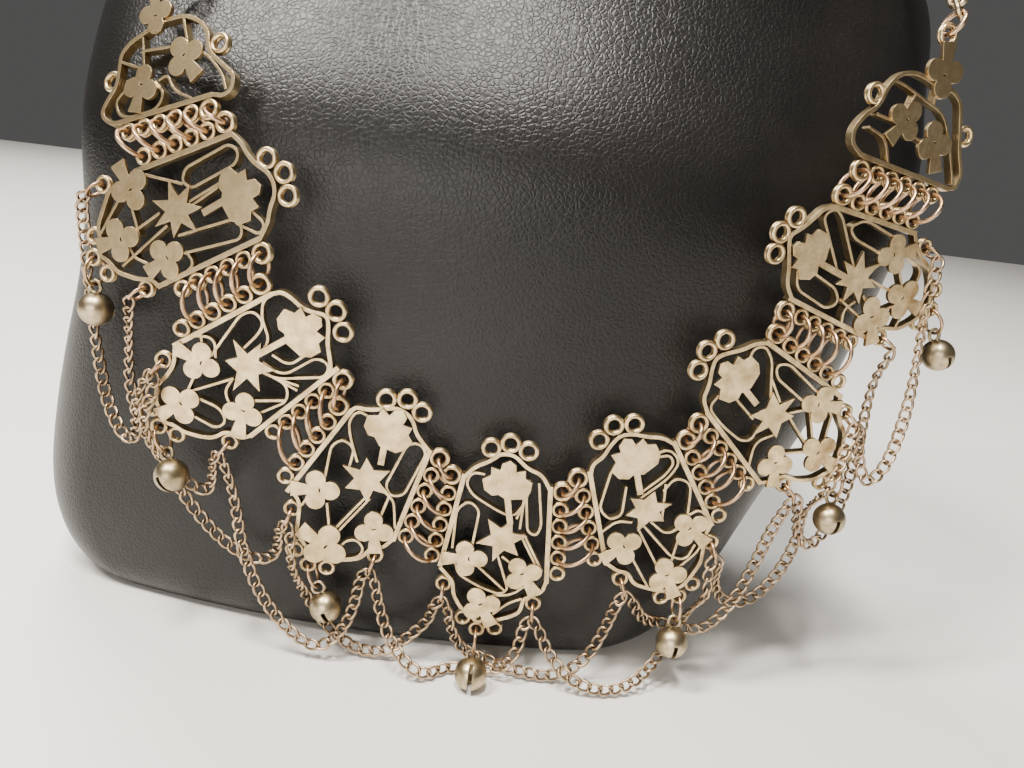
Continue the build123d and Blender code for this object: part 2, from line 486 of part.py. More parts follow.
def bar_eyes(top, foot, outward_turn):
    """Centres of the six eyes along a bar, the first one larger"""
    along = (foot - top).normalized()
    outward = Vector(-along.Y, along.X) * outward_turn
    small_reach = bar_width / 2 + eye_radius + eye_wire / 2 - solder
    big_reach = bar_width / 2 + big_eye_radius + big_eye_wire / 2 - solder
    small_step = 2 * eye_radius + eye_wire + eye_gap
    first_step = eye_radius + eye_wire / 2 + big_eye_radius + big_eye_wire / 2 + eye_gap
    centres = [top + along * first_eye + outward * big_reach]
    for place in range(5):
        centres.append(top + along * (first_eye + first_step + place * small_step) + outward * small_reach)
    return centres


def facing_eyes(name, side):
    """Eyes of a plaque that face its neighbour on one side (1 is its right), first one at the neckline"""
    if name in end_patterns:
        left, right = [spot(*point) for point in end_patterns[name]["bar"]]
        if end_patterns[name]["eye_from"] > 0:
            return bar_eyes(right, left, 1)
        return bar_eyes(left, right, -1)
    bar = plaque_patterns[name]["right_bar" if side > 0 else "left_bar"]
    top, foot = [spot(*point) for point in bar]
    return bar_eyes(top, foot, side)


def add_eyes(centres, radius, wire):
    """Rings wound from two turns of wire"""
    spots = []
    for centre in centres:
        for level in (-turn_spacing / 2, turn_spacing / 2):
            spots.append((centre.X, centre.Y, level))
    with Locations(*spots):
        Torus(radius, wire / 2)


def add_strips(plane, pattern, bars):
    """Bars, outline and ribbons, all strips on edge"""
    for width, paths in (
        (bar_width, bars),
        (outline_width, pattern["outline"]),
        (ribbon_width, pattern["ribbons"]),
    ):
        with BuildSketch(plane) as strips:
            with BuildLine():
                for path in paths:
                    smooth_path([spot(*point) for point in path])
            trace(line_width=width)
        extrude(strips.sketch, amount=ribbon_depth / 2, both=True)


def clover_shape(x, y, turn, size):
    """Three round lobes and a stem that widens to its end"""
    centre = spot(x, y)
    stem_way = radians(turn)
    for lobe_turn in (180, 74, -74):
        angle = stem_way + radians(lobe_turn)
        with Locations((centre.X + size * clover_reach * cos(angle), centre.Y + size * clover_reach * sin(angle))):
            Circle(size * clover_lobe)
    ahead = Vector(cos(stem_way), sin(stem_way)) * size
    aside = Vector(-ahead.Y, ahead.X)
    end = centre + ahead * clover_stem
    stem = [
        centre + aside * clover_stem_root / 2,
        end + aside * clover_stem_end / 2,
        end - aside * clover_stem_end / 2,
        centre - aside * clover_stem_root / 2,
    ]
    Polygon(*stem, align=None)


def star_shape(tips):
    """Star with a tip at each point and an inner corner between each pair of tips"""
    tips = [spot(*tip) for tip in tips]
    centre = sum(tips, Vector()) / len(tips)
    corners = []
    for tip, following in zip(tips, tips[1:] + tips[:1]):
        corners.append(tip)
        between = (tip + following) / 2 - centre
        corners.append(centre + between.normalized() * star_size * 0.48)
    Polygon(*corners, align=None)


# Outline of a lobed leaf, as shares of leaf_size, around its middle
leaf_outline = [
    (0.00, 0.50), (0.13, 0.42), (0.15, 0.27), (0.33, 0.33), (0.35, 0.17), (0.50, 0.10), (0.49, -0.12),
    (0.37, -0.28), (0.18, -0.32), (0.04, -0.35), (-0.14, -0.26), (-0.26, -0.30), (-0.43, -0.20),
    (-0.50, 0.02), (-0.34, 0.14), (-0.36, 0.31), (-0.17, 0.27), (-0.15, 0.41),
]


def leaf_shape(x, y, turn, size):
    """Lobed leaf"""
    centre = spot(x, y)
    way = radians(turn)
    corners = []
    for across, up in leaf_outline:
        right = across * leaf_size * size
        above = up * leaf_size * size
        corners.append(centre + Vector(right * cos(way) - above * sin(way), right * sin(way) + above * cos(way)))
    Polygon(*corners, align=None)


def write(piece, name):
    """Label a finished piece and write it out"""
    piece.part.label = name
    export_step(piece.part, f"parts/{name}.step")


# Bust: one smooth body from the table to the top of the neck
with BuildPart() as bust:
    for height, left, right, front, back, corner in bust_sections:
        left_x = -left * chest_left
        right_x = right * chest_right
        front_y = -front * chest_front
        back_y = back * chest_back
        left_y = front_y + (left_x - chest_ridge) ** 2 / (2 * chest_radius)
        right_y = front_y + (right_x - chest_ridge) ** 2 / (2 * chest_radius)
        shorter = min(right_x - left_x, back_y - max(left_y, right_y))
        with BuildSketch(Plane.XY.offset(height * bust_height)) as section:
            with BuildLine():
                ThreePointArc((left_x, left_y), (chest_ridge, front_y), (right_x, right_y))
                Polyline((right_x, right_y), (right_x, back_y), (left_x, back_y), (left_x, left_y))
            make_face()
            fillet(section.vertices(), min(corner * chest_corner, 0.45 * shorter))
    loft()
write(bust, "bust")

# Seven middle plaques
for name, pattern in plaque_patterns.items():
    with BuildPart(plaque_plane(name)) as plaque:
        add_strips(plaque_plane(name), pattern, [pattern["left_bar"], pattern["right_bar"]])
        eyes = facing_eyes(name, -1) + facing_eyes(name, 1)
        small_eyes = eyes[1:6] + eyes[7:]
        corner_and_foot = [spot(*point) for point in pattern["corner_eyes"] + pattern["foot_eyes"]]
        add_eyes(small_eyes + corner_and_foot, eye_radius, eye_wire)
        top_eyes = [spot(*point) for point in pattern["top_eyes"]]
        add_eyes([eyes[0], eyes[6]] + top_eyes, big_eye_radius, big_eye_wire)
        with BuildSketch(plaque_plane(name).offset(ribbon_depth / 2 + sheet_rise - sheet_thickness)):
            leaf_shape(*pattern["leaf"])
            with BuildLine():
                smooth_path([spot(*point) for point in pattern["stem"]])
            trace(line_width=clover_stem_root)
            star_shape(pattern["star"])
            for clover in pattern["clovers"]:
                clover_shape(*clover)
        extrude(amount=sheet_thickness)
    write(plaque, name)

# Two end plaques
for name, pattern in end_patterns.items():
    with BuildPart(plaque_plane(name)) as plaque:
        add_strips(plaque_plane(name), pattern, [pattern["bar"]])
        eyes = facing_eyes(name, 0)
        add_eyes(eyes[1:], eye_radius, eye_wire)
        side_eyes = [spot(*point) for point in pattern["side_eyes"]]
        add_eyes([eyes[0]] + side_eyes, big_eye_radius, big_eye_wire)
        add_eyes([spot(*pattern["bail"])], bail_radius, eye_wire)
        with BuildSketch(plaque_plane(name).offset(ribbon_depth / 2 + sheet_rise - sheet_thickness)):
            for clover in pattern["clovers"]:
                clover_shape(*clover)
        extrude(amount=sheet_thickness)
    write(plaque, name)

# Jump rings that join the facing eyes of neighbouring plaques
for row, count in enumerate(jump_counts, start=1):
    names = [f"plaque_{row}", f"plaque_{row + 1}"]
    planes = [plaque_plane(name) for name in names]
    near_eyes = [in_space(names[0], eye) for eye in facing_eyes(names[0], 1)]
    far_eyes = [in_space(names[1], eye) for eye in facing_eyes(names[1], -1)]
    footward = far_eyes[5] - far_eyes[0] + near_eyes[5] - near_eyes[0]
    with BuildPart() as rings:
        for near, far in list(zip(near_eyes, far_eyes))[:count]:
            chord = (far - near).normalized()
            half_span = (far - near).length / 2
            radius = max(min(jump_radius, half_span / least_span_share), half_span * 1.02)
            across = chord.cross(planes[0].z_dir + planes[1].z_dir).normalized()
            if across.dot(footward) < 0:
                across = across * -1
                outward = chord.cross(across)
            else:
                outward = across.cross(chord)
            way = outward * cos(radians(jump_lean)) + across * sin(radians(jump_lean))
            centre = (near + far) / 2 + way * sqrt(radius**2 - half_span**2)
            with Locations(Plane(origin=centre, x_dir=chord, z_dir=chord.cross(way))):
                Torus(radius, jump_wire / 2)
    write(rings, f"jump_rings_{row}")


def hanging_way(plane):
    """How a ring hangs from an eye at the foot of a plaque: down, off the foot and forward"""
    way = Vector(0, 0, -1) - plane.y_dir * 2
    way = (way - plane.z_dir * way.dot(plane.z_dir)).normalized()
    return (way + plane.z_dir * drop_lean).normalized()


def swung_way(forward, sideways):
    """Straight down, swung forward and sideways by an angle each"""
    return Vector(
        sin(radians(sideways)),
        -sin(radians(forward)) * cos(radians(sideways)),
        -cos(radians(forward)) * cos(radians(sideways)),
    )


# Hanging rings, bells with their rings
for name, pattern in plaque_patterns.items():
    number = name.split("_")[1]
    plane = plaque_plane(name)
    way = hanging_way(plane)
    with BuildPart() as corner_rings:
        for corner in pattern["corner_eyes"]:
            centre = in_space(name, spot(*corner)) + way * drop_radius + plane.z_dir * drop_rise
            with Locations(Plane(origin=centre, x_dir=way, z_dir=way.cross(plane.z_dir))):
                Torus(drop_radius, drop_wire / 2)
    write(corner_rings, f"corner_rings_{number}")

    ring_forward, bell_forward, sideways, slit_turn = bell_swings[number]
    ring_way = swung_way(ring_forward, sideways)
    ring_side = ring_way.cross(plane.z_dir).normalized()
    eye = in_space(name, spot(*pattern["foot_eyes"][1]))
    with BuildPart() as bell_ring:
        with Locations(Plane(origin=eye + ring_way * bell_ring_radius, x_dir=ring_way, z_dir=ring_side)):
            Torus(bell_ring_radius, drop_wire / 2)
    write(bell_ring, f"bell_ring_{number}")

    bell_way = swung_way(bell_forward, sideways)
    loop_reach = bell_radius + bell_loop_radius - solder
    hook_reach = loop_reach + bell_loop_radius - bell_loop_wire / 2 - drop_wire / 2 - link_clearance
    bell_centre = eye + ring_way * 2 * bell_ring_radius + bell_way * hook_reach
    loop_across = bell_way.cross(ring_side.cross(bell_way)).normalized()
    bell_plane = Plane(origin=bell_centre, x_dir=loop_across, z_dir=bell_way * -1)
    with BuildPart() as bell:
        with Locations(bell_plane):
            Sphere(bell_radius)
            with Locations((0, 0, loop_reach)):
                Torus(bell_loop_radius, bell_loop_wire / 2, rotation=(90, 0, 0))
            Sphere(bell_radius - bell_wall, mode=Mode.SUBTRACT)
            with Locations(Location((0, 0, -bell_radius / 2), (0, 0, slit_turn))):
                Box(2.2 * bell_radius, bell_slit, bell_radius, mode=Mode.SUBTRACT)
    write(bell, f"bell_{number}")

# Hanging chains, each a plain tube along its route
for name, route in swag_routes.items():
    with BuildPart() as swag:
        with BuildLine() as path:
            smooth_path(route)
        run = path.wire()
        with BuildSketch(Plane(origin=run @ 0, z_dir=run % 0)):
            Circle(swag_width / 2)
        sweep(path=run)
    swept = swag.part.volume / (pi * swag_width**2 / 4 * run.length)
    print(name, "length", round(run.length, 1), "volume share", round(swept, 4))
    print("   radii", [round(radius, 1) for radius in bend_radii(route)])
    write(swag, name)

# One link of the neck chain, lying along x
end_turn = (link_width - link_wire) / 2
end_place = (link_length - link_width) / 2
with BuildPart() as link:
    with BuildLine() as loop:
        Line((-end_place, end_turn), (end_place, end_turn))
        RadiusArc((end_place, end_turn), (end_place, -end_turn), end_turn)
        Line((end_place, -end_turn), (-end_place, -end_turn))
        RadiusArc((-end_place, -end_turn), (-end_place, end_turn), end_turn)
    with BuildSketch(Plane(origin=(0, end_turn, 0), z_dir=(1, 0, 0))):
        Circle(link_wire / 2)
    sweep(path=loop.wire())


def away_from_body(point, way):
    """Direction off the bust, square to the way that the chain runs"""
    off = Vector(point.X - nape[0], point.Y - nape[1] + 20, 0.6 * abs(point.X - nape[0]))
    return (off - way * off.dot(way)).normalized()


# Neck chain: an end ring through each bail, links that alternate, and one clasp ring at the nape
clasp_centre = Vector(*nape)
for side, name in (("left", "plaque_1"), ("right", "plaque_9")):
    bail = in_space(name, spot(*end_patterns[name]["bail"]))
    route = neck_routes[side]
    front = plaque_plane(name).z_dir
    start_way = Vector(*route[0]) - bail
    start_way = (start_way - front * start_way.dot(front)).normalized()
    with BuildPart() as end_ring:
        centre = bail + start_way * end_ring_radius
        with Locations(Plane(origin=centre, x_dir=start_way, z_dir=start_way.cross(front))):
            Torus(end_ring_radius, end_ring_wire / 2)
    write(end_ring, f"end_ring_{side}")

    first = bail + start_way * 2 * end_ring_radius
    last_way = (clasp_centre - Vector(*route[-1])).normalized()
    last = clasp_centre - last_way * clasp_radius
    with BuildLine() as path:
        smooth_path([tuple(first)] + route + [tuple(last)])
    run = path.wire()
    grip = link_length / 2 - link_wire
    first_link = grip - end_ring_wire / 2 - link_clearance
    last_link = run.length - (grip - clasp_wire / 2 - link_clearance)
    gaps = ceil((last_link - first_link) / (2 * grip - link_clearance))
    gaps += (gaps + 1) % 2
    pitch = (last_link - first_link) / gaps
    print("neck chain", side, "links", gaps + 1, "pitch", round(pitch, 2), "route", round(run.length, 1))
    print("   radii", [round(radius, 1) for radius in bend_radii([tuple(first)] + route + [tuple(last)])])
    spots = []
    for place in range(gaps + 1):
        distance = first_link + place * pitch
        centre = run.position_at(distance, position_mode=PositionMode.LENGTH)
        way = run.tangent_at(distance, position_mode=PositionMode.LENGTH)
        off = away_from_body(centre, way)
        if place % 2 == 0:
            spots.append(Plane(origin=centre, x_dir=way, z_dir=off))
        else:
            spots.append(Plane(origin=centre, x_dir=way, z_dir=way.cross(off)))
    with BuildPart() as neck_chain:
        with Locations(*spots):
            add(link.part)
    write(neck_chain, f"neck_chain_{side}")

with BuildPart() as clasp:
    with Locations(Plane(origin=clasp_centre, x_dir=(1, 0, 0), z_dir=(0, 1, 0))):
        Torus(clasp_radius, clasp_wire / 2)
write(clasp, "clasp_ring")
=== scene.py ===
from math import cos, pi, radians, sin

import bpy
from mathutils import Matrix, Vector


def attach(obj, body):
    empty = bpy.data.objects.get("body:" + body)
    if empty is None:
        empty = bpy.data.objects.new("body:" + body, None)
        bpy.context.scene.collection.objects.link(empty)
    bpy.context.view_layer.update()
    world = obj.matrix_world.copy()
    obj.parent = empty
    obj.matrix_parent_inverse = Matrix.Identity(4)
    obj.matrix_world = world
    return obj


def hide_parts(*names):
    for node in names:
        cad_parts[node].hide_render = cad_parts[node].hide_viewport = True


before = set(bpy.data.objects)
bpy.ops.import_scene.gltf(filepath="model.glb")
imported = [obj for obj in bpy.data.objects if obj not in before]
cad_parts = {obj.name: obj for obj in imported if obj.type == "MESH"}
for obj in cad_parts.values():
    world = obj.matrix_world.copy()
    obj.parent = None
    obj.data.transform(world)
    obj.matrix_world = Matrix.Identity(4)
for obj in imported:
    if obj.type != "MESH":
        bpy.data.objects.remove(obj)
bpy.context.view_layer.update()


# Camera
# It stands close in front of the bust at its middle, looks slightly down and is held a few degrees
# off level, as the photographer held it.
camera_place = Vector((0.0, -0.210, 0.112))
looks_down = radians(16)
held_over = radians(7)
focal_pixels = 816
picture_pixels = 1024
sensor_mm = 36
nearest_seen = 0.005

camera_data = bpy.data.cameras.new("camera")
camera_data.sensor_width = sensor_mm
camera_data.lens = focal_pixels / picture_pixels * sensor_mm
camera_data.clip_start = nearest_seen
camera = bpy.data.objects.new("camera", camera_data)
bpy.context.scene.collection.objects.link(camera)
bpy.context.scene.camera = camera
forward = Vector((0, cos(looks_down), -sin(looks_down)))
right = Vector((cos(held_over), sin(looks_down) * sin(held_over), cos(looks_down) * sin(held_over)))
up = right.cross(forward)
turned = Matrix((right, up, -forward)).transposed()
camera.matrix_world = Matrix.Translation(camera_place) @ turned.to_4x4()


# Table top
# A plain pale board with a faint cloudiness in its paint. The bust stands on it. It isn't part of
# the necklace.
def new_material(name):
    """A material with its nodes, its links and its shader"""
    material = bpy.data.materials.new(name)
    material.use_nodes = True
    nodes = material.node_tree.nodes
    return material, nodes, material.node_tree.links, nodes["Principled BSDF"]


def noise(nodes, links, scale, detail=3.0, rough=0.55, stretch=(1, 1, 1)):
    """Noise in the object's own metres; stretch makes it run finer along an axis"""
    place = nodes.new("ShaderNodeTexCoord")
    mapping = nodes.new("ShaderNodeMapping")
    mapping.inputs["Scale"].default_value = stretch
    links.new(place.outputs["Object"], mapping.inputs["Vector"])
    texture = nodes.new("ShaderNodeTexNoise")
    texture.inputs["Scale"].default_value = scale
    texture.inputs["Detail"].default_value = detail
    texture.inputs["Roughness"].default_value = rough
    links.new(mapping.outputs["Vector"], texture.inputs["Vector"])
    return texture.outputs["Fac"]


def ramp(nodes, links, source, stops):
    """Colours or shades by a 0 to 1 value; stops are (place, colour)"""
    node = nodes.new("ShaderNodeValToRGB")
    while len(node.color_ramp.elements) < len(stops):
        node.color_ramp.elements.new(0.5)
    for element, (place, colour) in zip(node.color_ramp.elements, stops):
        element.position = place
        element.color = (*colour, 1)
    links.new(source, node.inputs["Fac"])
    return node.outputs["Color"]


table_reach = 1.6
table_clouds_per_metre = 6
table_shade = (0.84, 0.82, 0.78)
table_pale = (0.88, 0.86, 0.82)
table_roughness = 0.45

table_mesh = bpy.data.meshes.new("table_top")
table_mesh.from_pydata(
    [(-table_reach, -table_reach, 0), (table_reach, -table_reach, 0),
     (table_reach, table_reach, 0), (-table_reach, table_reach, 0)],
    [], [(0, 1, 2, 3)],
)
table_top = bpy.data.objects.new("table_top", table_mesh)
bpy.context.scene.collection.objects.link(table_top)
table_paint, nodes, links, shader = new_material("table_paint")
table_clouds = noise(nodes, links, table_clouds_per_metre)
table_colour = ramp(nodes, links, table_clouds, [(0.3, table_shade), (0.7, table_pale)])
links.new(table_colour, shader.inputs["Base Color"])
shader.inputs["Roughness"].default_value = table_roughness
table_mesh.materials.append(table_paint)


# Light
# Two narrow soft lamps overhead, which the leather shows as two upright bands, a broad soft lamp
# at the front left, one behind that lights the table, and a dim even room.
def lamp(name, place, target, width, depth, watts, colour):
    """A rectangular soft lamp aimed at a point"""
    data = bpy.data.lights.new(name, "AREA")
    data.shape = "RECTANGLE"
    data.size = width
    data.size_y = depth
    data.energy = watts
    data.color = colour
    light = bpy.data.objects.new(name, data)
    light.location = place
    light.rotation_euler = (Vector(target) - Vector(place)).to_track_quat("-Z", "Y").to_euler()
    bpy.context.scene.collection.objects.link(light)


overhead_warm = (1.0, 0.95, 0.88)
front_warm = (1.0, 0.95, 0.89)
daylight = (1.0, 0.97, 0.93)
aim_left = (-0.05, -0.03, 0.13)
aim_middle = (-0.01, -0.03, 0.13)
aim_plaques = (0, 0, 0.08)
aim_table = (0, -0.1, 0)
lamps = {
    # name: (place, target, width, depth, watts, colour)
    "overhead_left": ((-0.53, -0.28, 0.98), aim_left, 0.13, 0.34, 17, overhead_warm),
    "overhead_middle": ((-0.05, -0.36, 1.08), aim_middle, 0.11, 0.30, 16, overhead_warm),
    "front_left": ((-0.30, -1.1, 0.34), aim_plaques, 0.8, 0.5, 8, front_warm),
    "behind_left": ((-0.6, 0.9, 1.3), aim_table, 0.8, 0.8, 34, daylight),
}
for name, settings in lamps.items():
    lamp(name, *settings)

room_grey = (0.66, 0.65, 0.64, 1)
room_strength = 0.13
world = bpy.data.worlds.new("room")
bpy.context.scene.world = world
world.use_nodes = True
room = world.node_tree.nodes["Background"]
room.inputs["Color"].default_value = room_grey
room.inputs["Strength"].default_value = room_strength


# Neck bust
# A shop display form with sloping shoulders, padded and covered with one skin of black grained
# leatherette, drawn smooth over the front.
leather_dark = (0.004, 0.0038, 0.0036)
leather_worn = (0.010, 0.009, 0.0085)
leather_clouds_per_metre = 28
leather_smoothest, leather_roughest = 0.30, 0.42
rubbed_patches_per_metre = 45
leather_shine = 0.3
leather_coat, leather_coat_roughness = 0.03, 0.3
grain_per_metre = 900
grain_depth = 0.0001
grain_strength = 0.4
grain_groove = 0.22
grain_wander_per_metre = 260
grain_wander = 0.0016
creases_per_metre = 90
crease_depth = 0.0003
crease_strength = 0.15


def spread(nodes, links, source, low, high):
    """A 0 to 1 value spread from low to high"""
    node = nodes.new("ShaderNodeMapRange")
    node.inputs["To Min"].default_value = low
    node.inputs["To Max"].default_value = high
    links.new(source, node.inputs["Value"])
    return node.outputs["Result"]


def bump(nodes, links, height, depth, strength, under=None):
    """Relief from a height, on top of another relief if one is given"""
    relief = nodes.new("ShaderNodeBump")
    relief.inputs["Distance"].default_value = depth
    relief.inputs["Strength"].default_value = strength
    links.new(height, relief.inputs["Height"])
    if under:
        links.new(under, relief.inputs["Normal"])
    return relief.outputs["Normal"]


def pebble_grain(nodes, links):
    """Height of leather grain: raised pebbles of wandering outline with grooves between them"""
    place = nodes.new("ShaderNodeTexCoord")
    wander = nodes.new("ShaderNodeTexNoise")
    wander.inputs["Scale"].default_value = grain_wander_per_metre
    links.new(place.outputs["Object"], wander.inputs["Vector"])
    shifted = nodes.new("ShaderNodeVectorMath")
    shifted.operation = "MULTIPLY_ADD"
    shifted.inputs[1].default_value = (grain_wander, grain_wander, grain_wander)
    links.new(wander.outputs["Color"], shifted.inputs[0])
    links.new(place.outputs["Object"], shifted.inputs[2])
    cells = nodes.new("ShaderNodeTexVoronoi")
    cells.feature = "DISTANCE_TO_EDGE"
    cells.inputs["Scale"].default_value = grain_per_metre
    links.new(shifted.outputs["Vector"], cells.inputs["Vector"])
    return ramp(nodes, links, cells.outputs["Distance"], [(0.0, (0, 0, 0)), (grain_groove, (1, 1, 1))])


leather, nodes, links, shader = new_material("black_leatherette")
leather_clouds = noise(nodes, links, leather_clouds_per_metre, 5)
leather_colour = ramp(nodes, links, leather_clouds, [(0.3, leather_dark), (0.75, leather_worn)])
links.new(leather_colour, shader.inputs["Base Color"])
creases = bump(nodes, links, noise(nodes, links, creases_per_metre, 4), crease_depth, crease_strength)
grain = bump(nodes, links, pebble_grain(nodes, links), grain_depth, grain_strength, under=creases)
links.new(grain, shader.inputs["Normal"])
rubbed = noise(nodes, links, rubbed_patches_per_metre, 4)
links.new(spread(nodes, links, rubbed, leather_smoothest, leather_roughest), shader.inputs["Roughness"])
shader.inputs["Specular IOR Level"].default_value = leather_shine
shader.inputs["Coat Weight"].default_value = leather_coat
shader.inputs["Coat Roughness"].default_value = leather_coat_roughness


def dress(node, material):
    """A CAD node takes one finish all over"""
    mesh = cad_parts[node].data
    mesh.materials.clear()
    mesh.materials.append(material)


dress("bust", leather)


# Openwork plaques
# Nine plaques of thin wire and ribbon on edge, with leaves, stars and clovers cut from sheet and
# soldered on top, silver-plated long ago and now dull champagne, with brown tarnish and painted shade
# in the corners.
tarnish_clouds_per_metre = 340
stains_per_metre = 95
deepest_stain = 0.65
scratches_per_metre = 900
scratch_stretch = (1, 1, 0.3)
scratch_depth = 0.00004
scratch_strength = 0.6
look_rays = 4


def blend(nodes, links, share, colour, other):
    """A colour that turns into a second one by a 0 to 1 share"""
    mixed = nodes.new("ShaderNodeMix")
    mixed.data_type = "RGBA"
    links.new(share, mixed.inputs["Factor"])
    links.new(colour, mixed.inputs["A"])
    mixed.inputs["B"].default_value = (*other, 1)
    return mixed.outputs["Result"]


def old_metal(name, bright, dull, recess_shade_and_tarnish, smoothest, roughest, corner_reach, edge_radius):
    """Aged plate: cloudy colour, brown painted shade and tarnish in the corners, rubbed soft edges and
    fine scratches
    """
    material, nodes, links, shader = new_material(name)
    clouds = noise(nodes, links, tarnish_clouds_per_metre, 5, 0.62)
    colour = ramp(nodes, links, clouds, [(0.34, dull), (0.62, bright)])
    stains = noise(nodes, links, stains_per_metre, 3)
    stained_share = ramp(nodes, links, stains, [(0.5, (0, 0, 0)), (0.72, [deepest_stain] * 3)])
    stained = blend(nodes, links, stained_share, colour, dull)
    # Painted shade, also standing for tarnish: the colour turns dark brown wherever ambient occlusion
    # finds nearby metal, in corners and between parts.
    corners = nodes.new("ShaderNodeAmbientOcclusion")
    corners.samples = look_rays
    corners.inputs["Distance"].default_value = corner_reach
    recess_shade_share = ramp(nodes, links, corners.outputs["AO"], [(0.25, (1, 1, 1)), (0.85, (0, 0, 0))])
    recess_shaded = blend(nodes, links, recess_shade_share, stained, recess_shade_and_tarnish)
    links.new(recess_shaded, shader.inputs["Base Color"])
    shader.inputs["Metallic"].default_value = 1.0
    links.new(spread(nodes, links, clouds, roughest, smoothest), shader.inputs["Roughness"])
    soft_edges = nodes.new("ShaderNodeBevel")
    soft_edges.samples = look_rays
    soft_edges.inputs["Radius"].default_value = edge_radius
    scratches = noise(nodes, links, scratches_per_metre, 4, 0.7, scratch_stretch)
    rubbed_edges = soft_edges.outputs["Normal"]
    scratched = bump(nodes, links, scratches, scratch_depth, scratch_strength, under=rubbed_edges)
    links.new(scratched, shader.inputs["Normal"])
    return material


plate = old_metal(
    "aged_plate", bright=(0.82, 0.64, 0.37), dull=(0.48, 0.35, 0.18), recess_shade_and_tarnish=(0.14, 0.08, 0.035),
    smoothest=0.24, roughest=0.46, corner_reach=0.0011, edge_radius=0.00014,
)
for number in range(1, 10):
    dress(f"plaque_{number}", plate)


# Jump rings, end rings and the small rings that hang from the plaques
# Drawn wire, bent round and closed through the eyes of the plaques. The plate has worn off most
# of them and copper shows through.
warm_wire = old_metal(
    "warm_wire", bright=(0.66, 0.46, 0.30), dull=(0.38, 0.24, 0.14), recess_shade_and_tarnish=(0.11, 0.06, 0.03),
    smoothest=0.22, roughest=0.42, corner_reach=0.0009, edge_radius=0.0001,
)
for number in range(1, 9):
    dress(f"jump_rings_{number}", warm_wire)
for number in range(2, 9):
    dress(f"corner_rings_{number}", warm_wire)
    dress(f"bell_ring_{number}", warm_wire)
for side in ("left", "right"):
    dress(f"end_ring_{side}", warm_wire)


# Bells
# Small round bells pressed from sheet, each with one slit, greenish brown with worn bright spots.
# A wire loop on top hooks each into the ring at the middle foot of its plaque.
bell_metal = old_metal(
    "bell_bronze", bright=(0.56, 0.46, 0.30), dull=(0.26, 0.21, 0.12), recess_shade_and_tarnish=(0.08, 0.06, 0.03),
    smoothest=0.26, roughest=0.48, corner_reach=0.0012, edge_radius=0.0002,
)
for number in range(2, 9):
    dress(f"bell_{number}", bell_metal)


# Neck chain and clasp
# Plain oval links of round wire, each through the next, plated as the plaques are. They run from
# the end plaques round the neck to one ring at the nape.
link_metal = old_metal(
    "neck_chain_wire", bright=(0.72, 0.57, 0.38), dull=(0.42, 0.31, 0.19), recess_shade_and_tarnish=(0.12, 0.07, 0.035),
    smoothest=0.22, roughest=0.42, corner_reach=0.0010, edge_radius=0.0001,
)
for node in ("neck_chain_left", "neck_chain_right", "clasp_ring"):
    dress(node, link_metal)


